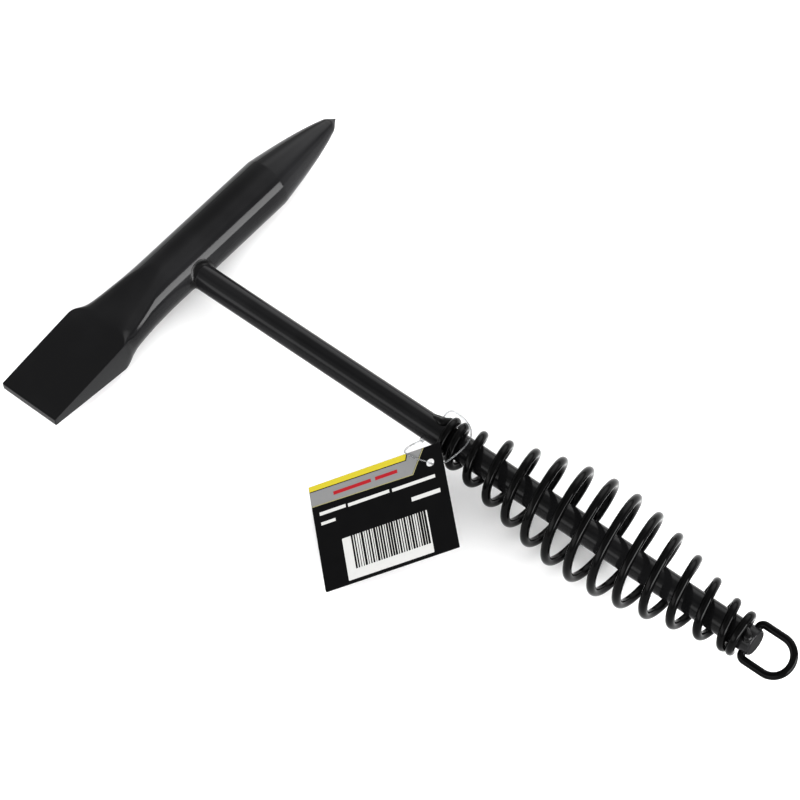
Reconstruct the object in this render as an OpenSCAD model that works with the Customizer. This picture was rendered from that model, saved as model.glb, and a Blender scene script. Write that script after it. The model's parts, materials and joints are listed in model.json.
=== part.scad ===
// Chipping hammer with a barrel spring grip, a hanging ring and a hang tag.
// The hammer lies on its side: +X runs from the head to the tail, +Y from the chisel to the pick.
// Its own frame has the shaft's axis on X and the bar's axis on Y; place() tilts it until the head
// and the fattest turn of the grip both touch the ground at z = 0.

/* [Head] */
// Diameter of the bar that the head is forged from
head_d = 20; // [18:0.5:22]
// Reach of the pick's point from the shaft's axis
pick_reach = 84; // [78:1:90]
// Length of the pick's ogive taper
pick_taper = 38.5; // [34:0.5:42]
// Reach of the chisel's edge from the shaft's axis
chisel_reach = 78.4; // [74:0.2:84]
// Where the chisel's wedge faces start, from the shaft's axis
wedge_start = 9.6; // [9:0.2:12]
// Width of the chisel at its edge
edge_w = 25.2; // [23:0.2:26]
// Width of the chisel at its flared shoulders
flare_w = 26; // [25:0.2:28]
// Thickness of the chisel's edge
edge_t = 3; // [2:0.2:4]

/* [Shaft] */
// Diameter of the shaft
shaft_d = 9.6; // [9:0.1:10]
// Distance from the head's axis to the shaft's tail end
shaft_reach = 252.2; // [251:0.1:256]
// Depth of the eye past the head's axis
eye_past = 4; // [2:0.5:6]

/* [Grip] */
// Diameter of the spring wire
wire_d = 3.1; // [2.8:0.1:3.2]
// Outer diameter of the grip at its fattest turn
grip_d = 37.6; // [34:0.2:39]
// Distance from the head's axis to the first turn
grip_start = 121.8; // [121.6:0.1:122.2]
// Advance of each open turn
open_pitch = 9.69; // [9.64:0.01:9.7]
// How far the fattest turn is bowed off the shaft's axis
grip_bow = 1.5; // [0:0.1:2]

/* [Hanging ring] */
// Diameter of the ring's wire
ring_wire_d = 2.7; // [2.4:0.1:2.8]
// Distance between the axes of the ring's two legs
ring_w = 13.4; // [13.2:0.1:14]
// Distance from the head's axis to the cross hole
ring_hole_x = 249.9; // [249.8:0.1:250]
// Distance from the head's axis to the wire's axis at the end of the bow
ring_end_x = 266; // [264:0.5:270]

/* [Tag] */
// Length of the card
card_l = 49; // [46:1:50]
// Width of the card
card_w = 40; // [38:1:42]
// Thickness of the card
card_t = 0.5; // [0.4:0.1:0.6]
// Diameter of the hole in the card
card_hole_d = 3; // [2.5:0.5:3.5]

/* [Hidden] */
$fn = 96;

enamel = "#1b1b1d";
enamel_dark = "#0f0f11";

head_r = head_d / 2;
shaft_r = shaft_d / 2;
wire_r = wire_d / 2;

// Head: stations along Y and the shape of each section.
section_sides = 64;
blade_steps = 30;
pick_steps = 16;
edge_y = -chisel_reach;
flare_y = -40.6;
pick_base_y = pick_reach - pick_taper;
pick_power = 0.56;
pick_cone = 3.7;
flat_power = 0.7;
flat_ease = 0.3;
wedge_ease = 0.15;
point_r = 0.3;
corner_r = 0.6;
round_side_end = -29;
flat_side_start = -40;

// Grip: the wire starts this far round the shaft from +Y, and its turns are counted from there.
grip_turn = 7.9;
turns = 14.58;
turn_sides = 20;
wire_sides = 8;
dead_pitch = 3.15;
late_pitch = 7.5;
end_pitch = 0.5;
lean = [0.055, 0.144];
wire_gap = 0.05;
barrel_from = 119.2;
barrel_to = 253;
swell_power = 0.957;
wind_r = shaft_r + wire_r + wire_gap;
fat_r = grip_d / 2 - wire_r;

// Ring: its plane's turn round the shaft from +Y, and the running fit of the tips in the cross hole.
ring_turn = 27.4;
ring_fit = 0.05;
ring_bend = 1.9;
ring_tip_gap = 1;
ring_wire_r = ring_wire_d / 2;
ring_hole_r = ring_wire_r + ring_fit;

// Card: its upper left corner, its turn, and the hole seen from that corner.
card_corner = [93.9, -40, -9.9];
card_turn = [6.3, -21.4, 46.7];
card_hole = [44.4, -6.2];
loop_d = 0.6;
loop_sides = 8;
loop_route = [
    [113.4, -0.9, -6.1], [113.5, 1.2, -5.9], [114.4, 4.6, -4.4], [115.3, 7.0, -0.8],
    [116.8, 7.9, 2.2], [119.2, 7.7, 4.6], [122.4, 7.0, 6.0], [125.8, 6.1, 6.8],
    [128.8, 4.7, 7.1], [130.8, 2.8, 7.1], [132.0, 0.4, 7.1], [132.5, -2.2, 7.3],
    [132.5, -4.9, 7.4], [131.8, -7.6, 6.5], [130.6, -9.9, 5.2], [129.2, -11.9, 4.5],
    [128.2, -13.1, 4.8], [127.2, -13.9, 5.6], [126.3, -14.6, 6.2], [125.0, -15.0, 6.3],
    [121.6, -15.4, 5.1], [117.6, -15.6, 4.4], [116.2, -14.8, 3.8], [115.2, -12.4, 2.2],
    [114.3, -9.2, -0.6], [113.6, -5.9, -3.6], [113.4, -3.3, -5.5]
];
lock_d = 1.8;

// Resting pose: tilt about Y, then the middle of the hammer's footprint goes to the origin.
grip_low = grip_d / 2 - grip_bow * sin(grip_turn);
rest_tilt = asin((grip_low - head_r) / ((barrel_from + barrel_to) / 2));
tail_x = (ring_end_x + ring_wire_r) * cos(rest_tilt);
flare_x = -flare_w / 2 * cos(rest_tilt) - wedge_half(flare_y) * sin(rest_tilt);
foot_x = (tail_x + flare_x) / 2;
foot_y = (pick_reach - chisel_reach) / 2;

module place() {
    translate([-foot_x, -foot_y, head_r])
        rotate([0, -rest_tilt, 0]) children();
}

function unit(v) = v / norm(v);
function ease(t) = let (c = min(1, max(0, t))) c * c * (3 - 2 * c);
function mix(a, b, t) = a + (b - a) * t;

// Share of a straight slope, from 0 to 1, whose first part is eased in.
function slope(t) = (t < wedge_ease ? t * t / (2 * wedge_ease) : t - wedge_ease / 2) / (1 - wedge_ease / 2);

// Half thickness of the chisel's wedge at a station.
function wedge_half(y) = mix(head_r, edge_t / 2, slope((-y - wedge_start) / (chisel_reach - wedge_start)));

// Radius of the pick at a distance from its point: an ogive that ends in a short cone.
function ogive(d) = head_r * pow(d / pick_taper, pick_power);
function pick_r(y) = let (d = pick_reach - y) max(point_r, d < pick_cone ? ogive(pick_cone) * d / pick_cone : ogive(d));

// Half width of the head's outline: it swells from the bar to the flare and narrows to the edge.
function half_width(y) =
    y > pick_base_y ? pick_r(y) :
    y > -wedge_start ? head_r :
    y > flare_y ? mix(head_r, flare_w / 2, pow((y + wedge_start) / (flare_y + wedge_start), 2.6)) :
    mix(flare_w / 2, edge_w / 2, (y - flare_y) / (edge_y - flare_y));

function half_height(y) = y > pick_base_y ? pick_r(y) : y > -wedge_start ? head_r : wedge_half(y);

// Half width of the flat face on the wedge, from nothing at its start to the whole width.
function flat_half(y) =
    let (whole = half_width(y) - corner_r, t = (y + wedge_start) / (flat_side_start + wedge_start))
    y > -wedge_start ? 0 : t >= 1 ? whole : whole * pow(t, flat_power) * ease(t / flat_ease);

// Height of the rounded corner: the whole side on the bar, a small radius on the chisel.
function corner_height(y) =
    mix(half_height(y), corner_r, ease((round_side_end - y) / (round_side_end - flat_side_start)));

// One closed section of the head: a flat on top and below, joined by rounded sides.
function head_section(y) =
    let (f = flat_half(y), cx = half_width(y) - f, h = half_height(y), cz = corner_height(y))
    [for (i = [0 : section_sides - 1])
        let (a = (i + 0.5) * 360 / section_sides)
        [sign(cos(a)) * (f + cx * abs(cos(a))), y, sign(sin(a)) * (h - cz + cz * abs(sin(a)))]];

function head_stations() = concat(
    [for (i = [0 : blade_steps]) mix(edge_y, -wedge_start, i / blade_steps)],
    [for (i = [0 : pick_steps]) mix(pick_base_y, pick_reach - pick_cone, i / pick_steps)],
    [pick_reach]
);

// Faces that join rings of n points, closed by a cap at each end.
function skin_faces(rings, n) = concat(
    [[for (i = [0 : n - 1]) i]],
    [for (k = [0 : rings - 2]) for (i = [0 : n - 1])
        let (j = (i + 1) % n)
        [k * n + i, k * n + n + i, k * n + n + j, k * n + j]],
    [[for (i = [n - 1 : -1 : 0]) (rings - 1) * n + i]]
);

// A round tube along a path; each ring's start direction is carried on from the one before.
function tangents(p) = [for (i = [0 : len(p) - 1])
    unit(p[min(i + 1, len(p) - 1)] - p[max(i - 1, 0)])];
function square_to(v, t) = unit(v - t * (v * t));
function carried(t, first) =
    [for (i = 0, n = square_to(first, t[0]); i < len(t);
          i = i + 1, n = i < len(t) ? square_to(n, t[i]) : n) n];

module tube(path, r, sides, first) {
    t = tangents(path);
    n = carried(t, first);
    points = [for (i = [0 : len(path) - 1]) for (k = [0 : sides - 1])
        let (a = 360 * k / sides)
        path[i] + r * (cos(a) * n[i] + sin(a) * cross(t[i], n[i]))];
    polyhedron(points, skin_faces(len(path), sides));
}

// Grip wire: the pitch at each turn, the barrel's swell, and a point of a turn. Each turn leans a
// little off square to the shaft, by the two slopes in lean.
function pitch(turn) = dead_pitch
    + (open_pitch - dead_pitch) * ease((turn - 0.2) / 2.28)
    + (late_pitch - open_pitch) * ease((turn - 12.38) / 1.39)
    + (end_pitch - late_pitch) * ease((turn - 13.55) / 0.7);
function swell(x) =
    let (s = min(1, max(0, (x - barrel_from) / (barrel_to - barrel_from))))
    pow((1 - cos(360 * s)) / 2, swell_power);
function wire_point(turn, x) =
    let (s = swell(x), a = 360 * turn, r = mix(wind_r, fat_r, s))
    [x + r * (lean[1] * sin(a) - lean[0] * cos(a)), r * cos(a) + grip_bow * s, r * sin(a)];
function wire_path() =
    [for (i = 0, x = grip_start; i <= turns * turn_sides;
          x = x + pitch(i / turn_sides) / turn_sides, i = i + 1)
        wire_point(i / turn_sides, x)];

module head() {
    stations = head_stations();
    points = [for (y = stations) each head_section(y)];
    color(enamel) place() difference() {
        polyhedron(points, skin_faces(len(stations), section_sides));
        translate([-eye_past, 0, 0])
            rotate([0, 90, 0]) cylinder(h = head_d, r = shaft_r);
    }
}

module shaft() {
    chamfer = 0.8;
    color(enamel) place() difference() {
        union() {
            translate([-eye_past, 0, 0])
                rotate([0, 90, 0]) cylinder(h = shaft_reach + eye_past - chamfer, r = shaft_r);
            translate([shaft_reach - chamfer, 0, 0])
                rotate([0, 90, 0]) cylinder(h = chamfer, r1 = shaft_r, r2 = shaft_r - chamfer);
        }
        rotate([ring_turn, 0, 0]) translate([ring_hole_x, 0, 0])
            rotate([90, 0, 0]) cylinder(h = shaft_d * 2, r = ring_hole_r, center = true);
    }
}

// Fillet weld round the mouth of the eye: a flared collar, cut back to the bar and the shaft.
module head_weld() {
    foot_r = shaft_r + 1.5;
    color(enamel_dark) place() difference() {
        translate([head_r * 0.8, 0, 0]) rotate([0, 90, 0]) union() {
            cylinder(h = head_r * 0.12, r = foot_r);
            translate([0, 0, head_r * 0.12]) cylinder(h = head_r * 0.19, r1 = foot_r, r2 = shaft_r);
        }
        rotate([90, 0, 0]) cylinder(h = head_d, r = head_r, center = true);
        rotate([0, 90, 0]) cylinder(h = head_d, r = shaft_r);
    }
}

module spring_grip() {
    color(enamel) place() rotate([grip_turn, 0, 0])
        tube(wire_path(), wire_r, wire_sides, [0, 1, 0]);
}

// Drop of weld metal: a blob at a place along and round the shaft.
module drop(x, r, turn, size) {
    rotate([turn, 0, 0]) translate([x, r, 0]) sphere(r = size, $fn = 32);
}

module spring_weld_front() {
    color(enamel_dark) place() {
        hull() {
            drop(113.2, shaft_r - 1, 45, 0.9);
            drop(118.6, shaft_r - 0.6, 35, 1.7);
            drop(grip_start - 0.6, shaft_r + 0.6, 41, 1.9);
        }
        hull() {
            drop(114.6, shaft_r - 0.8, 61, 0.9);
            drop(118.8, shaft_r - 0.2, 67, 1.7);
            drop(grip_start - 0.6, shaft_r + 0.6, 41, 1.9);
        }
    }
}

module spring_weld_rear() {
    color(enamel_dark) place() {
        hull() {
            drop(246.4, shaft_r + 0.8, 88, 1.3);
            drop(248.4, shaft_r + 0.1, 98, 1.5);
        }
        hull() {
            drop(248.4, shaft_r + 0.1, 98, 1.5);
            drop(250.1, shaft_r + 0.4, 116, 1.9);
        }
    }
}

// One leg of the ring: a tip in the cross hole, a bend and a straight run towards the bow.
module ring_leg() {
    leg_y = ring_w / 2;
    bow_x = ring_end_x - leg_y;
    bend_x = ring_hole_x + ring_bend;
    translate([ring_hole_x, ring_tip_gap, 0])
        rotate([-90, 0, 0]) cylinder(h = leg_y - ring_bend - ring_tip_gap, r = ring_wire_r);
    translate([bend_x, leg_y - ring_bend, 0])
        rotate([0, 0, 90]) rotate_extrude(angle = 90) translate([ring_bend, 0]) circle(r = ring_wire_r);
    translate([bend_x, leg_y, 0])
        rotate([0, 90, 0]) cylinder(h = bow_x - bend_x, r = ring_wire_r);
}

module hang_ring() {
    leg_y = ring_w / 2;
    color(enamel) place() rotate([ring_turn, 0, 0]) {
        ring_leg();
        mirror([0, 1, 0]) ring_leg();
        translate([ring_end_x - leg_y, 0, 0])
            rotate([0, 0, -90]) rotate_extrude(angle = 180) translate([leg_y, 0]) circle(r = ring_wire_r);
    }
}

module tag_card() {
    color("#242427") place() translate(card_corner) rotate(card_turn) difference() {
        translate([0, -card_w, 0]) cube([card_l, card_w, card_t]);
        translate([card_hole[0], card_hole[1], -card_t])
            cylinder(h = 3 * card_t, r = card_hole_d / 2);
    }
}

module tag_loop() {
    color("#c9ccd0") place() tube(loop_route, loop_d / 2, loop_sides, [0, 0, 1]);
}

// Snap lock that joins the loop's two ends: a small barrel round them.
module loop_lock() {
    first = loop_route[0];
    last = loop_route[len(loop_route) - 1];
    middle = (first + last) / 2;
    tilt = atan2(last[2] - first[2], first[1] - last[1]);
    color("#c9ccd0") place() translate(middle) rotate([-tilt, 0, 0])
        rotate([90, 0, 0]) cylinder(h = norm(first - last), r = lock_d / 2, center = true);
}

head();
shaft();
head_weld();
spring_grip();
spring_weld_front();
spring_weld_rear();
hang_ring();
tag_card();
tag_loop();
loop_lock();
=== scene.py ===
# %% [markdown]
# # A chipping hammer with a spring grip
#
# A welder knocks slag off a bead with this hammer. Its head is one forged bar: an ogive pick point
# at one end, a chisel set axe-wise at the other. A round shaft goes into the side of the bar, a
# barrel of spring wire round the shaft keeps the hand off the hot steel, and a wire ring hangs the
# tool up. A printed card hangs from the grip on a clear plastic loop.
#
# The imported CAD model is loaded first, as a frame that never moves. Everything else in this file
# is either a finer piece that stands for a CAD node, or a material.

import json
import math

import bmesh
import bpy
import numpy as np
from mathutils import Matrix, Vector, noise


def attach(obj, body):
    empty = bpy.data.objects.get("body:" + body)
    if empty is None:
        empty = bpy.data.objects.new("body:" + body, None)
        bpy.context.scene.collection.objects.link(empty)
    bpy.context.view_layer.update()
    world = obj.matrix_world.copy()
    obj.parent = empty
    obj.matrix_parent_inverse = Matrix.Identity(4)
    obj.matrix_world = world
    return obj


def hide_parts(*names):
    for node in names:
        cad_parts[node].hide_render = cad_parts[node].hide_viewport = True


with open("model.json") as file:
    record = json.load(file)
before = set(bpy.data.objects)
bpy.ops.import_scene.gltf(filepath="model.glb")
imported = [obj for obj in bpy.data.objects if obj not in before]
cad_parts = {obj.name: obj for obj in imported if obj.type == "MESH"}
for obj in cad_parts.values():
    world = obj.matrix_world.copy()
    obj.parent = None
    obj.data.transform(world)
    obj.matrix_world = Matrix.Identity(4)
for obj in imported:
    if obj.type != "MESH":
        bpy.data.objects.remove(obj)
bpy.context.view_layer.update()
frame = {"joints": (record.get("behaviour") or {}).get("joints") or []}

# %% [markdown]
# The hammer lies on its side, tilted a little, because the head and the fattest turn of the grip
# touch the ground together. All of its own sizes are easier to say in the hammer's own frame: X
# along the shaft, Y along the head's bar, both axes crossing at the eye. One matrix could be typed
# in, but the joints already hold it: the tag swings about the shaft's axis, and the pivot's place
# on that axis is known, so the matrix is worked out from them.

# %% The hammer's own frame
MM = 0.001
joints = {j["name"]: j for j in frame["joints"]}
along_shaft = -Vector(joints["tag_swing"]["axis"])
along_bar = Vector((0, 1, 0))
out_of_side = along_shaft.cross(along_bar)
tag_pivot_x = 122 * MM
eye = Vector(joints["tag_swing"]["pos_m"]) - along_shaft * tag_pivot_x

PLACE = Matrix.Translation(eye) @ Matrix((along_shaft, along_bar, out_of_side)).transposed().to_4x4()


def place(x, y, z):
    """A point given in millimetres in the hammer's frame, in metres in the row frame."""
    return PLACE @ (Vector((x, y, z)) * MM)


def direction(x, y, z):
    """A direction in the hammer's frame, turned into the row frame."""
    return (PLACE.to_3x3() @ Vector((x, y, z))).normalized()


print("eye at", [round(c, 4) for c in eye], "tilt", round(math.degrees(math.asin(along_shaft.z)), 2))

# %% [markdown]
# The camera comes next, because everything is judged through it. A camera can be placed with
# typed coordinates, but a target, an azimuth, an elevation and a distance say what is meant:
# a long lens, looking down from beyond the tail, with the head away to the upper left.

# %% Camera
camera_target = Vector((99.46, 2.31, 0))
camera_azimuth = math.radians(-49.13)
camera_elevation = math.radians(56.65)
camera_roll = math.radians(-1.03)
camera_distance = 1.1058
camera_lens = 145.05


def look_at(thing, target, azimuth, elevation, distance, roll=0.0):
    """Puts a thing round a target, facing it."""
    outward = Vector((
        math.cos(elevation) * math.cos(azimuth),
        math.cos(elevation) * math.sin(azimuth),
        math.sin(elevation),
    ))
    facing = outward.to_track_quat("Z", "Y").to_matrix().to_4x4()
    thing.matrix_world = (
        Matrix.Translation(target + outward * distance) @ facing @ Matrix.Rotation(roll, 4, "Z")
    )


camera_data = bpy.data.cameras.new("camera")
camera_data.lens = camera_lens
camera_data.sensor_width = 36
camera = bpy.data.objects.new("camera", camera_data)
bpy.context.scene.collection.objects.link(camera)
look_at(camera, place(*camera_target), camera_azimuth, camera_elevation, camera_distance, camera_roll)
bpy.context.scene.camera = camera
print("camera at", [round(c, 3) for c in camera.matrix_world.translation])

# %% [markdown]
# Four small helpers serve every piece. `shown` puts data in the scene as an object at the origin,
# with its place in its mesh, as the frame's own nodes are. `new_piece` turns lists of points and
# faces into such an object. `rounded` draws a smooth curve through a few route points (a
# Catmull-Rom spline), so that a listed route has no corners. `tube` skins a round wire over
# such a curve, carrying each ring's start direction on from the one before so that the wire never
# twists.

# %% Helpers for meshes
def shown(name, data):
    piece = bpy.data.objects.new(name, data)
    bpy.context.scene.collection.objects.link(piece)
    return piece


def new_piece(name, points, faces, smooth=True):
    mesh = bpy.data.meshes.new(name)
    mesh.from_pydata([tuple(p) for p in points], [], faces)
    mesh.update()
    if smooth:
        mesh.shade_smooth()
    return shown(name, mesh)


def rounded(route, steps):
    points = []
    for i in range(len(route) - 1):
        before = Vector(route[max(i - 1, 0)])
        start = Vector(route[i])
        end = Vector(route[i + 1])
        after = Vector(route[min(i + 2, len(route) - 1)])
        for k in range(steps):
            t = k / steps
            points.append(0.5 * (
                2 * start
                + (end - before) * t
                + (2 * before - 5 * start + 4 * end - after) * t ** 2
                + (3 * start - before - 3 * end + after) * t ** 3
            ))
    points.append(Vector(route[-1]))
    return points


def tube(name, line, radius, sides):
    points = []
    normal = Vector((0, 0, 1))
    for i, centre in enumerate(line):
        tangent = (line[min(i + 1, len(line) - 1)] - line[max(i - 1, 0)]).normalized()
        normal = (normal - tangent * normal.dot(tangent)).normalized()
        across = tangent.cross(normal)
        for k in range(sides):
            a = math.tau * k / sides
            points.append(centre + (normal * math.cos(a) + across * math.sin(a)) * radius)
    faces = [list(range(sides))[::-1]]
    for i in range(len(line) - 1):
        for k in range(sides):
            j = (k + 1) % sides
            faces.append([i * sides + k, i * sides + j, (i + 1) * sides + j, (i + 1) * sides + k])
    faces.append([(len(line) - 1) * sides + k for k in range(sides)])
    return new_piece(name, points, faces)


def triangles(piece):
    return sum(len(p.vertices) - 2 for p in piece.data.polygons)


# %% [markdown]
# The clear plastic loop is the one free cord. It starts at its lock behind the shaft, crosses over
# the top, drops between two coils of the grip, goes up through the card's hole, and comes back
# over the card's face and the shaft to the lock. The route is the CAD node's own, rounded.

# %% The tag's loop and its lock
loop_route = [
    (113.4, -0.9, -6.1), (113.5, 1.2, -5.9), (114.4, 4.6, -4.4), (115.3, 7.0, -0.8),
    (116.8, 7.9, 2.2), (119.2, 7.7, 4.6), (122.4, 7.0, 6.0), (125.8, 6.1, 6.8),
    (128.8, 4.7, 7.1), (130.8, 2.8, 7.1), (132.0, 0.4, 7.1), (132.5, -2.2, 7.3),
    (132.5, -4.9, 7.4), (131.8, -7.6, 6.5), (130.6, -9.9, 5.2), (129.2, -11.9, 4.5),
    (128.2, -13.1, 4.8), (127.2, -13.9, 5.6), (126.3, -14.6, 6.2), (125.0, -15.0, 6.3),
    (121.6, -15.4, 5.1), (117.6, -15.6, 4.4), (116.2, -14.8, 3.8), (115.2, -12.4, 2.2),
    (114.3, -9.2, -0.6), (113.6, -5.9, -3.6), (113.4, -3.3, -5.5),
]
loop_d = 0.6

loop_line = [place(*p) for p in rounded(loop_route, 8)]
tag_loop = tube("tag_loop_cord", loop_line, loop_d / 2 * MM, 14)

lock_start = place(*loop_route[-1])
lock_end = place(*loop_route[0])
lock_along = lock_end - lock_start
# The barrel's outline: rims at both ends, a waist between them and a rib round the middle.
lock_profile = [
    (0.0, 0.30), (0.0, 0.74), (0.06, 0.90), (0.16, 0.90), (0.20, 0.78), (0.42, 0.78),
    (0.45, 0.88), (0.55, 0.88), (0.58, 0.78), (0.80, 0.78), (0.84, 0.90), (0.94, 0.90),
    (1.0, 0.74), (1.0, 0.30),
]


def turned(name, start, along, profile, sides, smooth=True):
    """A closed shape turned about an axis, from (place along it, radius in millimetres) pairs."""
    axis = along.normalized()
    side = axis.orthogonal().normalized()
    other = axis.cross(side)
    points = []
    for share, radius in profile:
        for k in range(sides):
            a = math.tau * k / sides
            points.append(
                start + along * share + (side * math.cos(a) + other * math.sin(a)) * radius * MM
            )
    faces = [list(range(sides))[::-1]]
    for i in range(len(profile) - 1):
        for k in range(sides):
            j = (k + 1) % sides
            faces.append([i * sides + k, i * sides + j, (i + 1) * sides + j, (i + 1) * sides + k])
    faces.append([(len(profile) - 1) * sides + k for k in range(sides)])
    return new_piece(name, points, faces, smooth)


loop_lock = turned("tag_loop_lock", lock_start, lock_along, lock_profile, 32)
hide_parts("tag_loop")
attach(tag_loop, "tag")
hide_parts("loop_lock")
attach(loop_lock, "tag")
print(f"lock {triangles(loop_lock)} triangles")

# %% [markdown]
# The head is a bar with two very different ends, so its sections change along its length: a round
# one in the middle, an ogive towards the point, and towards the chisel a section with a flat on
# each side that widens while its rounded sides shrink to small corners. It could be sculpted from
# a cylinder, but every section follows the same rule, so the head is lofted: a few hundred rings of
# points, each worked out from its station along the bar. Close rings keep the ogive and the shoulder
# smooth in a gloss finish, where every facet would show. The crease between a flat and a rounded
# side is soft at first, and sharpens where the wedge is widest.

# %% The head's sections
head_r = 10
pick_reach = 84
pick_taper = 38.5
pick_power = 0.56
pick_cone = 3.7
cone_end = 1.6
ogive_start = 6.0
pick_base = pick_reach - pick_taper
point_r = 0.3
edge_reach = 78.4
wedge_start = 9.6
edge_w = 25.2
flare_w = 26
flare_y = -40.6
flare_power = 2.2
edge_t = 3
side_flatness = 0.06
least_crease = 0.01
soft_crease = 5.0
sharp_crease = 0.5
crease_ease = 24
crease_narrows = (36, 45)
wedge_ease = 0.15
round_side_end = -34
flat_side_start = -44


def mix(a, b, t):
    return a + (b - a) * t


def ease(t):
    t = min(1, max(0, t))
    return t * t * (3 - 2 * t)


def pick_radius(y):
    """An ogive that turns smoothly into a short cone near its point."""
    d = pick_reach - y
    cone = head_r * (pick_cone / pick_taper) ** pick_power * d / pick_cone
    ogive = head_r * (d / pick_taper) ** pick_power
    return max(point_r, mix(cone, ogive, ease((d - cone_end) / (ogive_start - cone_end))))


def half_width(y):
    if y > pick_base:
        return pick_radius(y)
    if y > -wedge_start:
        return head_r
    if y > flare_y:
        t = (y + wedge_start) / (flare_y + wedge_start)
        return mix(head_r, flare_w / 2, t ** flare_power)
    return mix(flare_w / 2, edge_w / 2, (y - flare_y) / (-edge_reach - flare_y))


def half_height(y):
    if y > pick_base:
        return pick_radius(y)
    if y > -wedge_start:
        return head_r
    t = (-y - wedge_start) / (edge_reach - wedge_start)
    gone = t * t / (2 * wedge_ease) if t < wedge_ease else t - wedge_ease / 2
    return mix(head_r, edge_t / 2, gone / (1 - wedge_ease / 2))


def soft_min(a, b, reach):
    """The smaller of two, with a rounded change from one to the other."""
    near = np.maximum(reach - np.abs(a - b), 0) / reach
    return np.minimum(a, b) - near * near * reach / 4


def section_outline(y, fine=1440):
    """One closed section, as a dense list of (x, z) points in millimetres."""
    a = (np.arange(fine) + 0.5) * math.tau / fine
    straight = ease((round_side_end - y) / (round_side_end - flat_side_start))
    power = mix(1, side_flatness, straight)
    narrow_from, narrow_to = crease_narrows
    reach = least_crease + soft_crease * ease((-y - wedge_start) / crease_ease)
    reach = mix(reach, sharp_crease, ease((-y - narrow_from) / (narrow_to - narrow_from)))
    round_height = pick_radius(y) if y > pick_base else head_r
    x = half_width(y) * np.sign(np.cos(a)) * np.abs(np.cos(a)) ** power
    z = np.sign(np.sin(a)) * soft_min(round_height * np.abs(np.sin(a)), half_height(y), reach)
    return np.stack([x, z], axis=1)


def spread_points(outline, count):
    """Points spaced half by length and half by turning, so flats and small corners get enough."""
    closed = np.vstack([outline, outline[:1]])
    steps = np.diff(closed, axis=0)
    lengths = np.hypot(steps[:, 0], steps[:, 1])
    headings = np.unwrap(np.arctan2(steps[:, 1], steps[:, 0]))
    turning = np.diff(np.append(headings, headings[0] + math.tau))
    weight = lengths / lengths.sum() + np.abs(turning) / math.tau
    reached = np.concatenate([[0], np.cumsum(weight)]) / weight.sum()
    wanted = (np.arange(count) + 0.5) / count
    return np.stack([np.interp(wanted, reached, closed[:, k]) for k in (0, 1)], axis=1)


flare_size = (round(2 * half_width(flare_y), 1), round(2 * half_height(flare_y), 1))
print("flare section is", flare_size, "mm")

# %% [markdown]
# The stations crowd together where the shape changes fast: at the start of the wedge, at the base
# of the ogive and at the point. The chisel's end gets a few more rings that shrink round a small
# radius, because enamel never leaves a sharp corner, and the point closes in one vertex.

# %% The head's loft
section_points = 160
wedge_rings = 110
bar_rings = 12
pick_rings = 70
edge_round = 0.25
edge_round_steps = 4
edge_inset = 0.5
shoulder_half = 0.12
last_short = 0.41

# Each ring is (its station along the bar, how far its outline is drawn in).
rings = []
for k in range(edge_round_steps + 1):
    turn = math.pi / 2 * k / edge_round_steps
    rings.append((-edge_reach + edge_round * (1 - math.sin(turn)), edge_round * (1 - math.cos(turn))))
rings = [(-edge_reach, edge_round + edge_inset)] + rings[::-1]
wedge_end = -edge_reach + edge_round
ogive_from = pick_base + shoulder_half
ogive_to = pick_reach - pick_cone - shoulder_half
for k in range(1, wedge_rings):
    share = 1 - (1 - k / wedge_rings) ** 1.5
    rings.append((mix(wedge_end, -wedge_start, share), 0))
for k in range(bar_rings):
    rings.append((mix(-wedge_start, pick_base - shoulder_half, k / bar_rings), 0))
rings.append((pick_base - shoulder_half, 0))
for k in range(pick_rings):
    rings.append((mix(ogive_from, ogive_to, k / pick_rings), 0))
rings.append((ogive_to, 0))
for short in (3.4, 3.1, 2.8, 2.5, 2.2, 1.9, 1.6, 1.3, 1.0, 0.7, last_short):
    rings.append((pick_reach - short, 0))

head_points = []
for y, inset in rings:
    outline = spread_points(section_outline(y), section_points)
    half_w = half_width(y)
    half_h = half_height(y)
    for x, z in outline:
        head_points.append(place(x * (half_w - inset) / half_w, y, z * (half_h - inset) / half_h))
for short, radius in ((0.2, 0.22), (0.06, 0.12)):
    for x, z in spread_points(section_outline(pick_reach - last_short), section_points):
        ratio = radius / math.hypot(x, z)
        head_points.append(place(x * ratio, pick_reach - short, z * ratio))
head_points.append(place(0, pick_reach, 0))

head_faces = [list(range(section_points))]
ring_count = len(rings) + 2
for i in range(ring_count - 1):
    for k in range(section_points):
        j = (k + 1) % section_points
        n = section_points
        head_faces.append([i * n + k, (i + 1) * n + k, (i + 1) * n + j, i * n + j])
tip = len(head_points) - 1
last = (ring_count - 1) * section_points
for k in range(section_points):
    head_faces.append([last + k, tip, last + (k + 1) % section_points])


def face_outwards(piece):
    shell = bmesh.new()
    shell.from_mesh(piece.data)
    bmesh.ops.recalc_face_normals(shell, faces=shell.faces)
    shell.to_mesh(piece.data)
    shell.free()
    piece.data.update()


head = new_piece("forged_head", head_points, head_faces)
face_outwards(head)
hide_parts("head")
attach(head, "hammer")
print(f"head {ring_count} rings, {triangles(head)} triangles")

# %% [markdown]
# The shaft is a plain round bar with a chamfered tail and one cross hole for the ring's tips. The
# turned outline is drawn once and spun, and a Boolean modifier drills the hole. Long thin faces
# shade badly after a Boolean, so the outline has rings close to the hole, and edges sharper than
# thirty degrees are marked sharp.

# %% The shaft and its cross hole
shaft_r = 4.8
shaft_reach = 252.2
shaft_from = -4
shaft_chamfer = 0.8
end_ring = 0.6
ring_turn = 27.4
ring_hole_x = 249.9
ring_hole_r = 1.40

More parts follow.
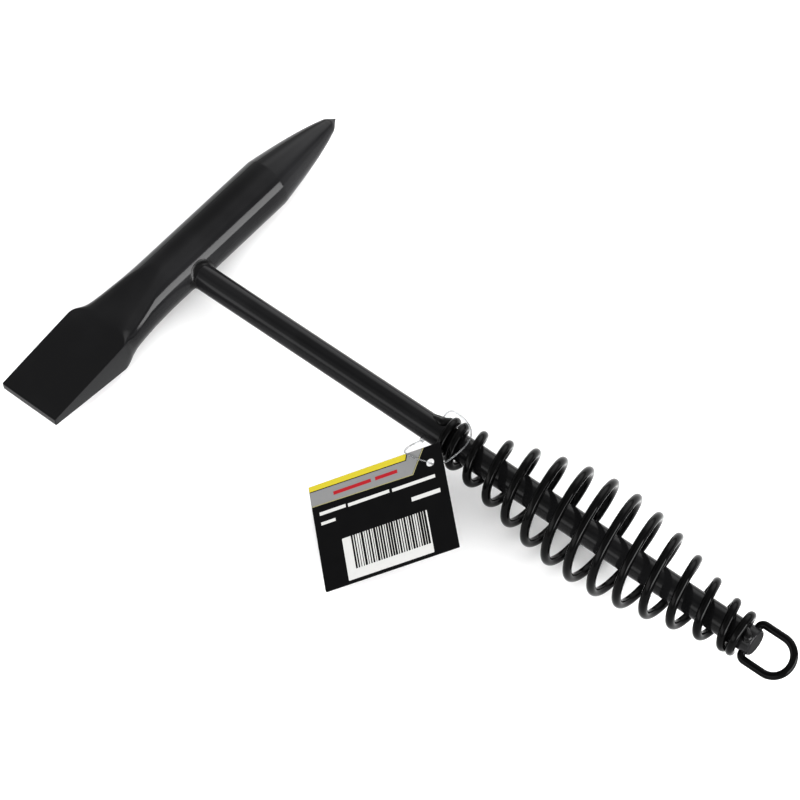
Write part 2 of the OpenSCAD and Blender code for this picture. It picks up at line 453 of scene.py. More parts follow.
chamfer_steps = 4
shaft_profile = [(shaft_from, shaft_r)]
for x in (20, 60, 100, 140, 180, 220, 240, 247.4, 248.2):
    shaft_profile.append((x, shaft_r))
for k in range(chamfer_steps + 1):
    turn = math.pi / 2 * k / chamfer_steps
    shaft_profile.append((
        shaft_reach - shaft_chamfer * (1 - math.sin(turn)),
        shaft_r - shaft_chamfer * (1 - math.cos(turn)),
    ))
shaft_profile.append((shaft_reach, shaft_r - shaft_chamfer - end_ring))
tail = place(shaft_reach, 0, 0)
nose = place(shaft_from, 0, 0)
shares = [((x - shaft_from) / (shaft_reach - shaft_from), r) for x, r in shaft_profile]
shaft = turned("shaft_bar", nose, tail - nose, shares, 128)
face_outwards(shaft)

hole_way = direction(0, math.cos(math.radians(ring_turn)), math.sin(math.radians(ring_turn)))
hole_middle = place(ring_hole_x, 0, 0)
drill_reach = hole_way * 8 * MM
drill = turned("drill", hole_middle - drill_reach, drill_reach * 2, [(0, ring_hole_r), (1, ring_hole_r)], 48)
face_outwards(drill)


def plain_mesh(piece):
    """Bakes the piece's modifiers into its mesh."""
    depsgraph = bpy.context.evaluated_depsgraph_get()
    mesh = bpy.data.meshes.new_from_object(piece.evaluated_get(depsgraph))
    piece.modifiers.clear()
    piece.data = mesh
    return piece


drilling = shaft.modifiers.new("cross hole", "BOOLEAN")
drilling.operation = "DIFFERENCE"
drilling.solver = "EXACT"
drilling.object = drill
plain_mesh(shaft)
bpy.data.objects.remove(drill)
shaft.data.shade_smooth()
shaft.data.set_sharp_from_angle(angle=math.radians(30))
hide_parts("shaft")
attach(shaft, "hammer")
print(f"shaft {triangles(shaft)} triangles")

# %% [markdown]
# Where the shaft enters the bar, a small weld fillet fills the corner. Its foot follows the bar's
# curve, so it isn't a plain cone: for each direction round the shaft, the height of the bar's
# surface is worked out, and a hollow profile is stood on it. A slow ripple keeps it from looking
# machined, as a bead laid by hand does even under paint.

# %% The weld round the eye
fillet_width = 1.5
fillet_height = 1.25
fillet_steps = 10
fillet_sides = 96
fillet_ripple = 0.10
fillet_tuck = 0.3
fillet_lift = 0.02
fillet_foot = -0.5


def bar_surface(radius, turn):
    return math.sqrt(head_r ** 2 - (radius * math.sin(turn)) ** 2)


fillet_points = []
for k in range(fillet_sides):
    turn = math.tau * k / fillet_sides
    ripple = 1 + fillet_ripple * noise.noise(Vector((3 * math.cos(turn), 3 * math.sin(turn), 0.7)))
    outline = [(shaft_r - fillet_tuck, fillet_height * ripple + fillet_lift)]
    for step in range(fillet_steps + 1):
        t = step / fillet_steps
        rise = 1 - math.sqrt(max(0, 1 - (1 - t) ** 2))
        outline.append((shaft_r + fillet_width * ripple * t, fillet_height * ripple * rise))
    outline.append((shaft_r + fillet_width * ripple, fillet_foot))
    outline.append((shaft_r - fillet_tuck, fillet_foot))
    for radius, rise in outline:
        x = bar_surface(radius, turn) + rise
        fillet_points.append(place(x, radius * math.cos(turn), radius * math.sin(turn)))
across = len(outline)
fillet_faces = []
for k in range(fillet_sides):
    j = (k + 1) % fillet_sides
    for s in range(across):
        t = (s + 1) % across
        fillet_faces.append([k * across + s, k * across + t, j * across + t, j * across + s])
head_weld = new_piece("eye_weld", fillet_points, fillet_faces)
face_outwards(head_weld)
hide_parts("head_weld")
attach(head_weld, "hammer")
print(f"eye weld {triangles(head_weld)} triangles")

# %% [markdown]
# The grip is one long wire, and its shape follows a rule: tight turns at each end, open ones
# between, and a radius that swells and shrinks again. That is a job for Geometry Nodes: a line
# of points, a pitch worked out for each point, the pitches added up along the line, and the sum
# used as the place along the shaft. A Screw modifier could only make turns that are all alike.
# Two helpers keep such a tree readable: `math_node` adds one sum, and `grow` sets a tree's named
# inputs, evaluates it and keeps the result as a plain mesh.

# %% Helpers for Geometry Nodes
def node_tree(name, sizes):
    tree = bpy.data.node_groups.new(name, "GeometryNodeTree")
    tree.interface.new_socket("Geometry", in_out="OUTPUT", socket_type="NodeSocketGeometry")
    for label, value in sizes.items():
        kind = "NodeSocketInt" if isinstance(value, int) else "NodeSocketFloat"
        tree.interface.new_socket(label, in_out="INPUT", socket_type=kind)
    tree.interface.new_socket("Material", in_out="INPUT", socket_type="NodeSocketMaterial")
    return tree, tree.nodes.new("NodeGroupInput").outputs


def put(tree, socket, value):
    if isinstance(value, bpy.types.NodeSocket):
        tree.links.new(value, socket)
    else:
        socket.default_value = value


def math_node(tree, operation, *values):
    node = tree.nodes.new("ShaderNodeMath")
    node.operation = operation
    for socket, value in zip(node.inputs, values):
        put(tree, socket, value)
    return node.outputs[0]


def eased(tree, value, low, high, start, end, kind="SMOOTHSTEP"):
    """A value that goes from start to end while the given value goes from low to high."""
    node = tree.nodes.new("ShaderNodeMapRange")
    node.interpolation_type = kind
    for label, number in (
        ("Value", value), ("From Min", low), ("From Max", high), ("To Min", start), ("To Max", end),
    ):
        put(tree, node.inputs[label], number)
    return node.outputs["Result"]


def combined(tree, x, y, z):
    node = tree.nodes.new("ShaderNodeCombineXYZ")
    for socket, value in zip(node.inputs, (x, y, z)):
        put(tree, socket, value)
    return node.outputs[0]


def swept(tree, curve, wire_radius, sides, material):
    """A round wire along a curve, smooth, with a material, as the tree's output."""
    circle = tree.nodes.new("GeometryNodeCurvePrimitiveCircle")
    put(tree, circle.inputs["Radius"], wire_radius)
    put(tree, circle.inputs["Resolution"], sides)
    sweep = tree.nodes.new("GeometryNodeCurveToMesh")
    put(tree, sweep.inputs["Curve"], curve)
    put(tree, sweep.inputs["Profile Curve"], circle.outputs["Curve"])
    sweep.inputs["Fill Caps"].default_value = True
    return finished(tree, sweep.outputs["Mesh"], material)


def finished(tree, geometry, material, smooth=True):
    realize = tree.nodes.new("GeometryNodeRealizeInstances")
    shade = tree.nodes.new("GeometryNodeSetShadeSmooth")
    shade.inputs["Shade Smooth"].default_value = smooth
    paint = tree.nodes.new("GeometryNodeSetMaterial")
    out = tree.nodes.new("NodeGroupOutput")
    put(tree, realize.inputs["Geometry"], geometry)
    put(tree, shade.inputs["Geometry"], realize.outputs["Geometry"])
    put(tree, paint.inputs["Geometry"], shade.outputs["Geometry"])
    put(tree, paint.inputs["Material"], material)
    put(tree, out.inputs["Geometry"], paint.outputs["Geometry"])
    return tree


def grow(name, tree, sizes, material, placing):
    piece = shown(name, bpy.data.meshes.new(name))
    modifier = piece.modifiers.new("grow", "NODES")
    modifier.node_group = tree
    for item in tree.interface.items_tree:
        if item.item_type == "SOCKET" and item.in_out == "INPUT":
            modifier[item.identifier] = material if item.name == "Material" else sizes[item.name]
    plain_mesh(piece)
    piece.data.transform(placing)
    if placing.determinant() < 0:
        piece.data.flip_normals()
    print(f"{name}: {len(piece.data.vertices)} points, {triangles(piece)} triangles")
    return piece


grip_turn = 7.9
IN_RING = PLACE @ Matrix.Rotation(math.radians(ring_turn), 4, "X") @ Matrix.Scale(MM, 4)
IN_GRIP = PLACE @ Matrix.Rotation(math.radians(grip_turn), 4, "X") @ Matrix.Scale(MM, 4)

# %% [markdown]
# All the steel is dipped in gloss black enamel after it is welded. Black paint has almost no colour
# of its own. What shows is what it reflects, so its detail is in the surface: a faint orange peel,
# and a roughness and a depth of colour that drift a little. The paint is duller on the shaft's cut
# end, where it soaks into the saw marks. The materials are made before the grip because the node
# tree hands them out.

# %% Materials for the steel
def material_tree(name):
    made = bpy.data.materials.new(name)
    made.use_nodes = True
    tree = made.node_tree
    return made, tree, tree.nodes["Principled BSDF"]


def object_place(tree):
    return tree.nodes.new("ShaderNodeTexCoord").outputs["Object"]


def cloudy(tree, where, scale, detail=3.0, roughness=0.5):
    node = tree.nodes.new("ShaderNodeTexNoise")
    put(tree, node.inputs["Vector"], where)
    node.inputs["Scale"].default_value = scale
    node.inputs["Detail"].default_value = detail
    node.inputs["Roughness"].default_value = roughness
    return node.outputs["Fac"]


def bumpy(tree, height, distance, strength=1.0, below=None):
    node = tree.nodes.new("ShaderNodeBump")
    put(tree, node.inputs["Height"], height)
    node.inputs["Distance"].default_value = distance
    node.inputs["Strength"].default_value = strength
    if below is not None:
        put(tree, node.inputs["Normal"], below)
    return node.outputs["Normal"]


def blended(tree, share, first, second):
    node = tree.nodes.new("ShaderNodeMix")
    node.data_type = "RGBA"
    put(tree, node.inputs["Factor"], share)
    put(tree, node.inputs["A"], first)
    put(tree, node.inputs["B"], second)
    return node.outputs["Result"]


def enamel_paint(name, smooth, rough, peel, specular, depth=1.0):
    made, tree, shader = material_tree(name)
    where = object_place(tree)
    drift = cloudy(tree, where, 60, 4)
    put(tree, shader.inputs["Roughness"], eased(tree, drift, 0.3, 0.7, smooth, rough))
    put(tree, shader.inputs["Base Color"], blended(
        tree, eased(tree, cloudy(tree, where, 25, 3), 0.35, 0.65, 0.0, 1.0),
        (0.0035 * depth, 0.0035 * depth, 0.0037 * depth, 1),
        (0.0060 * depth, 0.0060 * depth, 0.0063 * depth, 1),
    ))
    orange_peel = cloudy(tree, where, 420, 2)
    waves = cloudy(tree, where, 90, 1)
    fine = bumpy(tree, orange_peel, peel)
    put(tree, shader.inputs["Normal"], bumpy(tree, waves, peel * 6, below=fine))
    shader.inputs["Specular IOR Level"].default_value = specular
    return made


enamel = enamel_paint("gloss black enamel", 0.05, 0.10, 0.000002, 0.125, 2.4)
dull_enamel = enamel_paint("dull enamel on the cut end", 0.40, 0.60, 0.00002, 0.02, 1.6)
# The same enamel again for the grip and the ring, darker and less glossy: painted shade for the dimmer light
# round the wire.
shaded_wire_enamel = enamel_paint("enamel on wire with painted shade", 0.05, 0.10, 0.000002, 0.09, 0.4)
weld_enamel = enamel_paint("enamel over weld", 0.16, 0.28, 0.00002, 0.15, 0.7)
head.data.materials.append(enamel)
shaft.data.materials.clear()
shaft.data.materials.append(enamel)
shaft.data.materials.append(dull_enamel)
cut_end = place(shaft_reach, 0, 0)
cut_faces = [
    p for p in shaft.data.polygons
    if (p.center - cut_end).length < shaft_r * MM and p.normal.dot(direction(1, 0, 0)) > 0.98
]
for face in cut_faces:
    face.material_index = 1
print(len(cut_faces), "faces on the shaft's cut end carry the dull paint")
head_weld.data.materials.append(weld_enamel)

# %% [markdown]
# Now the grip's tree. Every turn of the wire gets ninety-six steps. The pitch starts tight, opens
# over two and a half turns, closes again near the tail, and nearly stops in the last half turn, which
# lies against the shaft. A wound barrel never sits quite square to its shaft, so each turn leans.

# %% The spring grip
grip_sizes = {
    "Turns": 14.58,
    "Steps per turn": 96,
    "Wire radius": 1.55,
    "Wire sides": 28,
    "Start": 121.8,
    "Barrel from": 119.2,
    "Barrel to": 253.0,
    "Wound radius": 6.4,
    "Fat radius": 17.25,
    "Swell power": 0.957,
    "Bow": 1.5,
    "Lean up": 0.055,
    "Lean across": 0.144,
    "Dead pitch": 3.15,
    "Open pitch": 9.69,
    "Late pitch": 7.5,
    "End pitch": 0.5,
}
tree, given = node_tree("spring grip", grip_sizes)
turn = math_node(
    tree, "DIVIDE", tree.nodes.new("GeometryNodeInputIndex").outputs[0], given["Steps per turn"]
)
pitch = eased(tree, turn, 0.2, 2.48, given["Dead pitch"], given["Open pitch"])
for low, high, before, after in (
    (12.38, 13.77, "Open pitch", "Late pitch"), (13.55, 14.25, "Late pitch", "End pitch"),
):
    change = math_node(tree, "SUBTRACT", given[after], given[before])
    pitch = math_node(tree, "ADD", pitch, eased(tree, turn, low, high, 0.0, change))
adding = tree.nodes.new("GeometryNodeAccumulateField")
put(tree, adding.inputs["Value"], math_node(tree, "DIVIDE", pitch, given["Steps per turn"]))
reached = math_node(tree, "ADD", adding.outputs["Trailing"], given["Start"])
share = eased(tree, reached, given["Barrel from"], given["Barrel to"], 0.0, math.tau, "LINEAR")
rise = math_node(
    tree, "MULTIPLY", math_node(tree, "SUBTRACT", 1.0, math_node(tree, "COSINE", share)), 0.5
)
swell = math_node(tree, "POWER", rise, given["Swell power"])
angle = math_node(tree, "MULTIPLY", turn, math.tau)
cosine = math_node(tree, "COSINE", angle)
sine = math_node(tree, "SINE", angle)
radius = eased(tree, swell, 0.0, 1.0, given["Wound radius"], given["Fat radius"], "LINEAR")
leaning = math_node(
    tree, "SUBTRACT",
    math_node(tree, "MULTIPLY", sine, given["Lean across"]),
    math_node(tree, "MULTIPLY", cosine, given["Lean up"]),
)
wire_place = combined(
    tree,
    math_node(tree, "MULTIPLY_ADD", radius, leaning, reached),
    math_node(tree, "MULTIPLY_ADD", radius, cosine, math_node(tree, "MULTIPLY", given["Bow"], swell)),
    math_node(tree, "MULTIPLY", radius, sine),
)
line = tree.nodes.new("GeometryNodeMeshLine")
count = math_node(tree, "MULTIPLY_ADD", given["Turns"], given["Steps per turn"], 1.0)
put(tree, line.inputs["Count"], count)
curve = tree.nodes.new("GeometryNodeMeshToCurve")
put(tree, curve.inputs["Mesh"], line.outputs["Mesh"])
bend = tree.nodes.new("GeometryNodeSetPosition")
put(tree, bend.inputs["Geometry"], curve.outputs["Curve"])
put(tree, bend.inputs["Position"], wire_place)
swept(tree, bend.outputs["Geometry"], given["Wire radius"], given["Wire sides"], given["Material"])

spring = grow("spring_wire", tree, grip_sizes, shaded_wire_enamel, IN_GRIP)
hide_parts("spring_grip")
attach(spring, "hammer")

# %% [markdown]
# The hanging ring is one bent wire too: six corners, each rounded by its own bend radius, which is
# what the Fillet Curve node does. The two small bends turn the tips into the cross hole, and the
# two large ones meet to make the bow.

# %% The hanging ring
ring_sizes = {
    "Wire radius": 1.35,
    "Wire sides": 28,
    "Half width": 6.7,
    "Hole": ring_hole_x,
    "End": 266.0,
    "Tip gap": 1.0,
    "Bend": 1.9,
}
tree, given = node_tree("hanging ring", ring_sizes)
index = tree.nodes.new("GeometryNodeInputIndex").outputs[0]
line = tree.nodes.new("GeometryNodeMeshLine")
line.inputs["Count"].default_value = 6
curve = tree.nodes.new("GeometryNodeMeshToCurve")
put(tree, curve.inputs["Mesh"], line.outputs["Mesh"])
from_middle = math_node(tree, "ABSOLUTE", math_node(tree, "SUBTRACT", index, 2.5))
at_end = math_node(tree, "LESS_THAN", from_middle, 1.0)
at_tip = math_node(tree, "GREATER_THAN", from_middle, 2.0)
way = math_node(tree, "SIGN", math_node(tree, "SUBTRACT", 2.5, index))
corner_x = eased(tree, at_end, 0.0, 1.0, given["Hole"], given["End"], "LINEAR")
corner_y = eased(tree, at_tip, 0.0, 1.0, given["Half width"], given["Tip gap"], "LINEAR")
bend = tree.nodes.new("GeometryNodeSetPosition")
put(tree, bend.inputs["Geometry"], curve.outputs["Curve"])
corner = combined(tree, corner_x, math_node(tree, "MULTIPLY", way, corner_y), 0.0)
put(tree, bend.inputs["Position"], corner)
fillet = tree.nodes.new("GeometryNodeFilletCurve")
fillet.mode = "POLY"
fillet.inputs["Count"].default_value = 24
put(tree, fillet.inputs["Curve"], bend.outputs["Geometry"])
bend_radius = eased(tree, at_end, 0.0, 1.0, given["Bend"], given["Half width"], "LINEAR")
put(tree, fillet.inputs["Radius"], math_node(tree, "MULTIPLY", bend_radius, 0.9999))
swept(tree, fillet.outputs["Curve"], given["Wire radius"], given["Wire sides"], given["Material"])

ring = grow("hanging_ring", tree, ring_sizes, shaded_wire_enamel, IN_RING)
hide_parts("hang_ring")
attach(ring, "ring")

# %% [markdown]
# Weld drops have no rule to follow: they are lumps of metal that ran together. A few balls are
# placed where the metal flowed, a voxel remesh melts them into one skin, a smoothing pass rounds the
# joints, and a little noise moves the skin along its normals. Metaballs could do the same, but a
# remesh keeps each drop the size it is given.

# %% The weld drops on the grip's ends
def weld_drops(name, drops, voxel, ripple):
    """Drops are (place along the shaft, distance from its axis, turn, size), in millimetres."""
    lump = bmesh.new()
    for x, r, turned_by, size in drops:
        turn = math.radians(turned_by)
        centre = place(x, r * math.cos(turn), r * math.sin(turn))
        bmesh.ops.create_icosphere(
            lump, subdivisions=3, radius=size * MM, matrix=Matrix.Translation(centre)
        )
    mesh = bpy.data.meshes.new(name)
    lump.to_mesh(mesh)
    lump.free()
    piece = shown(name, mesh)
    melt = piece.modifiers.new("melt", "REMESH")
    melt.mode = "VOXEL"
    melt.voxel_size = voxel * MM
    relax = piece.modifiers.new("relax", "SMOOTH")
    relax.factor = 0.5
    relax.iterations = 10
    plain_mesh(piece)
    for v in piece.data.vertices:
        swirl = noise.noise(v.co * 900) + 0.5 * noise.noise(v.co * 2100)
        v.co += v.normal * swirl * ripple * MM
    piece.data.shade_smooth()
    piece.data.materials.clear()
    piece.data.materials.append(weld_enamel)
    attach(piece, "hammer")
    print(f"{name}: {triangles(piece)} triangles")
    return piece


def between(first, second, count):
    """A row of drops from the first to just short of the second."""
    return [tuple(mix(a, b, k / count) for a, b in zip(first, second)) for k in range(count)]


front_drops = (
    between((113.2, 3.8, 45, 0.9), (118.6, 4.2, 35, 1.7), 8)
    + between((118.6, 4.2, 35, 1.7), (121.2, 5.4, 41, 1.85), 5)
    + between((114.6, 4.0, 61, 0.9), (118.8, 4.6, 67, 1.7), 6)
    + between((118.8, 4.6, 67, 1.7), (121.2, 5.4, 43, 1.8), 5)
)
weld_front = weld_drops("grip_weld_front", front_drops, 0.16, 0.10)
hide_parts("spring_weld_front")

rear_drops = (
    between((246.5, 5.5, 89, 1.25), (248.4, 4.9, 98, 1.45), 4)
    + between((248.4, 4.9, 98, 1.45), (250.2, 5.1, 114, 1.9), 5)
    + [(250.2, 5.1, 114, 1.9)]
)
weld_rear = weld_drops("grip_weld_rear", rear_drops, 0.12, 0.03)
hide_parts("spring_weld_rear")

# %% [markdown]
# The hang tag is a stiff printed card. Its outline and its hole are a flat curve that is filled
# and given a thickness and a tiny bevel, which is the easiest way to make a plate with a hole in
# it. The inks are thin plates that stand a hundredth of a millimetre proud, so that each edge of
# the print is a clean edge of geometry and each ink has its own material.

# %% The card
card_l = 49
card_w = 40
card_t = 0.5
card_hole = (44.4, -6.2)
card_hole_r = 1.5
card_corner_round = 0.35
card_bevel = 0.04
card_corner = (93.9, -40, -9.9)
card_heading = 46.7
card_dip = -21.4
card_roll = 6.3
ON_CARD = (
    PLACE
    @ Matrix.Scale(MM, 4)
    @ Matrix.Translation(card_corner)
    @ Matrix.Rotation(math.radians(card_heading), 4, "Z")
    @ Matrix.Rotation(math.radians(card_dip), 4, "Y")
    @ Matrix.Rotation(math.radians(card_roll), 4, "X")
)


def flat_spline(curve, points):
    spline = curve.splines.new("POLY")
    spline.points.add(len(points) - 1)
    for p, (x, y) in zip(spline.points, points):
        p.co = (x, y, 0, 1)
    spline.use_cyclic_u = True


def rounded_box(left, top, right, bottom, radius, steps=6):
    points = []
    for cx, cy, start in (
        (right - radius, top - radius, 0), (left + radius, top - radius, 90),
        (left + radius, bottom + radius, 180), (right - radius, bottom + radius, 270),
    ):
        for k in range(steps + 1):
            a = math.radians(start + 90 * k / steps)
            points.append((cx + radius * math.cos(a), cy + radius * math.sin(a)))
    return points


def plate(name, outlines, thickness, bevel):
    """A flat plate in card millimetres, its top face at z = 0."""
    curve = bpy.data.curves.new(name, "CURVE")
    curve.dimensions = "2D"
    curve.fill_mode = "BOTH"
    curve.extrude = thickness / 2 - bevel
    curve.bevel_depth = bevel
    curve.bevel_resolution = 2
    curve.offset = -bevel
    for outline in outlines:
        flat_spline(curve, outline)
    drawn = shown(name, curve)
    depsgraph = bpy.context.evaluated_depsgraph_get()
    mesh = bpy.data.meshes.new_from_object(drawn.evaluated_get(depsgraph))
    bpy.data.objects.remove(drawn)
    mesh.transform(Matrix.Translation((0, 0, -thickness / 2)))
    mesh.name = name
    return mesh


card_hole_sides = 48
hole_outline = []
for k in range(card_hole_sides):
    a = math.tau * k / card_hole_sides
    hole_outline.append((
        card_hole[0] + card_hole_r * math.cos(a), card_hole[1] + card_hole_r * math.sin(a),
    ))
card_outline = rounded_box(0, 0, card_l, -card_w, card_corner_round)
card_mesh = plate("hang_tag_card", [card_outline, hole_outline[::-1]], card_t, card_bevel)
card = shown("hang_tag_card", card_mesh)


def join_doubles(piece, distance=0.0005):
    shell = bmesh.new()
    shell.from_mesh(piece.data)
    bmesh.ops.remove_doubles(shell, verts=shell.verts, dist=distance)
    bmesh.ops.recalc_face_normals(shell, faces=shell.faces)
    shell.to_mesh(piece.data)
    shell.free()
    piece.data.update()


join_doubles(card)
card.data.transform(ON_CARD @ Matrix.Translation((0, 0, card_t)))
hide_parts("tag_card")
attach(card, "tag")
print(f"card {triangles(card)} triangles")

# %% [markdown]
# The inks are matt, a little uneven, and worn at random spots, so that the card doesn't look like a
# screen. The card itself is black board with a thin lacquer, whose roughness drifts. The loop is
# clear plastic, which scatters a little light inside.

# %% Materials for the tag
def ink(name, colour, rough, specular=0.3, worn=0.1):
    made, tree, shader = material_tree(name)
    where = object_place(tree)
    share = eased(tree, cloudy(tree, where, 700, 4), 0.52, 0.8, 0.0, worn)
    faded = tuple(c * 0.6 for c in colour[:3]) + (1,)
    put(tree, shader.inputs["Base Color"], blended(tree, share, colour, faded))
    put(tree, shader.inputs["Roughness"], eased(
        tree, cloudy(tree, where, 240, 3), 0.3, 0.7, rough - 0.06, rough + 0.06,
    ))
    put(tree, shader.inputs["Normal"], bumpy(tree, cloudy(tree, where, 1500, 2), 0.000002))
    shader.inputs["Specular IOR Level"].default_value = specular
    return made


board = ink("black board", (0.0059, 0.0059, 0.0063, 1), 0.42, 0.06)
white_ink = ink("white ink", (0.55, 0.55, 0.54, 1), 0.5)
yellow_ink = ink("yellow ink", (0.515, 0.44, 0.034, 1), 0.45)
grey_ink = ink("grey ink", (0.235, 0.236, 0.237, 1), 0.45)
pale_ink = ink("pale yellow ink", (0.33, 0.31, 0.165, 1), 0.45)
red_ink = ink("red ink", (0.35, 0.014, 0.023, 1), 0.45)
bar_ink = ink("bar ink", (0.006, 0.006, 0.006, 1), 0.5, 0.1)

clear_plastic, tree, shader = material_tree("clear plastic")
where = object_place(tree)
put(tree, shader.inputs["Base Color"], blended(
    tree, cloudy(tree, where, 300, 3), (0.62, 0.63, 0.64, 1), (0.72, 0.73, 0.74, 1),
))
put(tree, shader.inputs["Roughness"], eased(
    tree, cloudy(tree, where, 500, 3), 0.3, 0.7, 0.10, 0.24,
))
put(tree, shader.inputs["Normal"], bumpy(tree, cloudy(tree, where, 900, 2), 0.000004))
shader.inputs["Transmission Weight"].default_value = 0.86
shader.inputs["IOR"].default_value = 1.22

card.data.materials.clear()
card.data.materials.append(board)
tag_loop.data.materials.append(clear_plastic)
loop_lock.data.materials.append(clear_plastic)
print("inks and plastic", len(bpy.data.materials), "materials so far")

# %% [markdown]
# The print is drawn as shapes in card millimetres, the same way as the card's outline. Each ink is
# one thin plate: a yellow stripe, a grey band with a pale edge, a red rule, white rules in place of
# words, and a white panel. An image texture would be the usual way, but shapes stay sharp at any
# zoom and need no file.

# %% The card's print
ink_t = 0.02
ink_lift = 0.01


def printed(name, outlines, material, lift=ink_lift):
    mesh = plate(name, outlines, ink_t, 0.0)
    piece = shown(name, mesh)
    join_doubles(piece)
    mesh.transform(ON_CARD @ Matrix.Translation((0, 0, card_t + lift)))
    mesh.materials.clear()
    mesh.materials.append(material)
    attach(piece, "tag")
    return piece


def bar(left, top, right, bottom):
    return [(left, -top), (left, -bottom), (right, -bottom), (right, -top)]


yellow_stripe = [(0.1, -0.05), (0.1, -2.0), (35.9, -2.3), (36.7, -0.05)]
grey_band = [(0.1, -2.3), (0.1, -7.6), (37.4, -8.35), (42.6, -0.05), (37.1, -0.05), (36.2, -2.6)]
pale_edge = [
    (0.1, -7.62), (0.1, -7.95), (37.75, -8.7), (43.15, -0.05), (42.75, -0.05), (37.5, -8.37),
]
rules = [
    (2.4, 10.6, 12.2, 11.9), (13.0, 10.8, 28.4, 12.1), (29.4, 11.0, 45.3, 12.3),
    (2.4, 14.4, 7.8, 15.6), (35.6, 16.6, 46.2, 18.2),
]
panel = (8.8, 22.9, 40.2, 38.9)
prints = [
    printed("print_yellow", [yellow_stripe], yellow_ink),
    printed("print_grey", [grey_band], grey_ink),
    printed("print_edge", [pale_edge], pale_ink),
    printed("print_red", [bar(8.6, 4.6, 22.6, 5.9), bar(24.2, 4.6, 32.4, 5.9)], red_ink, 2 * ink_lift),
    printed("print_white", [bar(*r) for r in rules], white_ink),
    printed("print_panel", [rounded_box(panel[0], -panel[1], panel[2], -panel[3], 0.3)], white_ink),
]
print("print", [triangles(p) for p in prints], "triangles")

# %% [markdown]
# The panel carries a row of plain bars that stand for no number. A row of things that differ only in
# width is quick to make with Geometry Nodes: points on a line, one box on each, and a seeded random
# value for the width of each box.

# %% The bars on the panel
bar_sizes = {
    "Bars": 30,
    "Step": 0.925,
    "Thin": 0.2,
    "Thick": 0.8,
    "Height": 12.4,
    "Thickness": ink_t,
    "Seed": 7,
}
tree, given = node_tree("panel bars", bar_sizes)
line = tree.nodes.new("GeometryNodeMeshLine")
put(tree, line.inputs["Count"], given["Bars"])
put(tree, line.inputs["Offset"], combined(tree, given["Step"], 0.0, 0.0))
cube = tree.nodes.new("GeometryNodeMeshCube")
put(tree, cube.inputs["Size"], combined(tree, 1.0, given["Height"], given["Thickness"]))
chance = tree.nodes.new("FunctionNodeRandomValue")
chance.data_type = "FLOAT"
for socket in chance.inputs:
    if socket.enabled and socket.name in ("Min", "Max", "Seed"):
        put(tree, socket, given[{"Min": "Thin", "Max": "Thick", "Seed": "Seed"}[socket.name]])
width = [socket for socket in chance.outputs if socket.enabled][0]
copies = tree.nodes.new("GeometryNodeInstanceOnPoints")
put(tree, copies.inputs["Points"], line.outputs["Mesh"])
put(tree, copies.inputs["Instance"], cube.outputs["Mesh"])
put(tree, copies.inputs["Scale"], combined(tree, width, 1.0, 1.0))
finished(tree, copies.outputs["Instances"], given["Material"], smooth=False)
bars_inset = 3.6
bars_lift = 0.002
bars_place = ON_CARD @ Matrix.Translation((
    panel[0] + bars_inset, -panel[1] - bar_sizes["Height"] / 2, card_t + ink_lift + bars_lift,
))
bars = grow("print_bars", tree, bar_sizes, bar_ink, bars_place)
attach(bars, "tag")

# %% [markdown]
# A gloss black tool is drawn by what it reflects, so the light is a studio built round it: an even
# white room, and brighter softboxes whose directions were chosen so that each highlight falls where
# it should. Area lamps could do this, but a world of directions gives the same reflections with no
# noise and no lamp in view. Each softbox is a patch on the sky with soft edges. The floor is plain
# and pale, and only catches a faint shadow. A gamma a little below one deepens the blacks.

# %% Floor and light
half = 4
floor_corners = [(-half, -half, 0), (half, -half, 0), (half, half, 0), (-half, half, 0)]
floor = new_piece("floor", floor_corners, [[0, 1, 2, 3]], smooth=False)
pale_floor, tree, shader = material_tree("pale floor")
put(tree, shader.inputs["Base Color"], blended(
    tree, cloudy(tree, object_place(tree), 3, 3), (0.94, 0.94, 0.94, 1), (0.96, 0.96, 0.96, 1),
))
shader.inputs["Roughness"].default_value = 0.95
shader.inputs["Specular IOR Level"].default_value = 0.1
floor.data.materials.append(pale_floor)

ROOM = 1.0
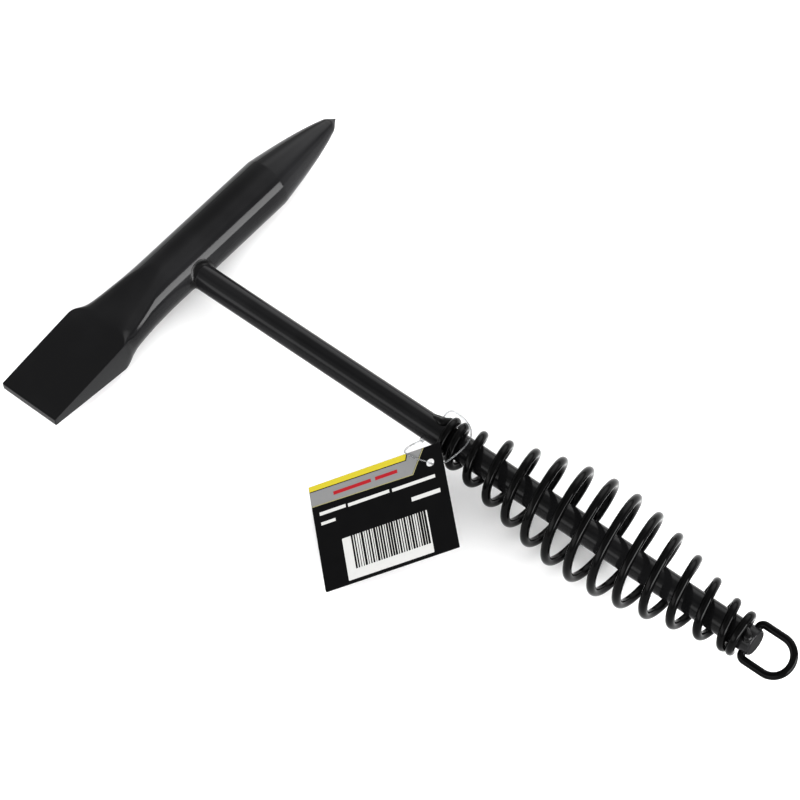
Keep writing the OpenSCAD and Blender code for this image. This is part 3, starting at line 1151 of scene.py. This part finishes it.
# Each patch of the sky: its middle and the direction of its long side (in the hammer's frame), the
# tangents where it starts and ends along and across with the softness of each edge, and its
# brightness. A patch below zero is a black flag.
patches = [
    # The long softbox beside the tool: the bright stripe on the head and on every turn of the wire.
    ((0.98, 0.0, 0.19), (0, 1, 0), ((-0.6, 0.15), (0.60, 0.05)), ((-0.35, 0.1), (0.25, 0.03)), 18.0),
    # A flag along its upper edge.
    ((0.80, 0.0, 0.60), (0, 1, 0), ((-2.0, 0.3), (3.0, 0.3)), ((-0.20, 0.04), (0.16, 0.10)), -0.87),
    # The low strip beyond the edge of the table: the line along the shaft.
    ((-0.2, -0.88, 0.42), (1, 0, 0), ((-1.2, 0.2), (0.6, 0.2)), ((-0.22, 0.1), (0.16, 0.08)), 3.0),
    ((-0.2, -0.80, 0.56), (1, 0, 0), ((-1.2, 0.2), (0.6, 0.2)), ((-0.40, 0.1), (0.12, 0.08)), 0.9),
    # Flags above, which leave the shaft's top dark.
    ((-0.40, -0.22, 0.89), (1, 0, 0), ((-0.5, 0.2), (0.30, 0.2)), ((-0.20, 0.06), (0.20, 0.12)), -0.39),
    ((-0.40, 0.10, 0.91), (1, 0, 0), ((-0.6, 0.2), (0.35, 0.2)), ((-0.60, 0.2), (0.45, 0.25)), -0.28),
    # A big soft light behind the pick, which lights the floor and the tops of the turns.
    ((-0.15, 0.86, 0.49), (1, 0, 0), ((-0.5, 0.3), (0.5, 0.3)), ((-0.30, 0.15), (0.30, 0.15)), 3.0),
    # A wide dim glow over the head.
    ((0.0, 0.42, 0.91), (0, 1, 0), ((-0.3, 0.2), (0.3, 0.2)), ((-0.2, 0.3), (0.2, 0.3)), 0.55),
]
world = bpy.data.worlds.new("studio")
bpy.context.scene.world = world
world.use_nodes = True
tree = world.node_tree
sky = tree.nodes.new("ShaderNodeTexCoord").outputs["Generated"]


def dotted(tree, where, way):
    node = tree.nodes.new("ShaderNodeVectorMath")
    node.operation = "DOT_PRODUCT"
    put(tree, node.inputs[0], where)
    node.inputs[1].default_value = tuple(way)
    return node.outputs["Value"]


brightness = ROOM
for middle, along, long_reach, wide_reach, power in patches:
    facing = direction(*middle)
    long_way = direction(*along)
    long_way = (long_way - facing * long_way.dot(facing)).normalized()
    wide_way = facing.cross(long_way)
    depth = dotted(tree, sky, facing)
    level = math_node(tree, "MULTIPLY", power, math_node(tree, "GREATER_THAN", depth, 0.02))
    for way, reach in ((long_way, long_reach), (wide_way, wide_reach)):
        off = math_node(tree, "DIVIDE", dotted(tree, sky, way), depth)
        for (edge, soft), start in zip(reach, (0.0, 1.0)):
            inside = eased(tree, off, edge - soft, edge + soft, start, 1.0 - start)
            level = math_node(tree, "MULTIPLY", level, inside)
    brightness = math_node(tree, "ADD", brightness, level)
put(tree, tree.nodes["Background"].inputs["Strength"], brightness)
tree.nodes["Background"].inputs["Color"].default_value = (1, 1, 1, 1)
bpy.context.scene.view_settings.view_transform = "Standard"
bpy.context.scene.view_settings.gamma = 0.82
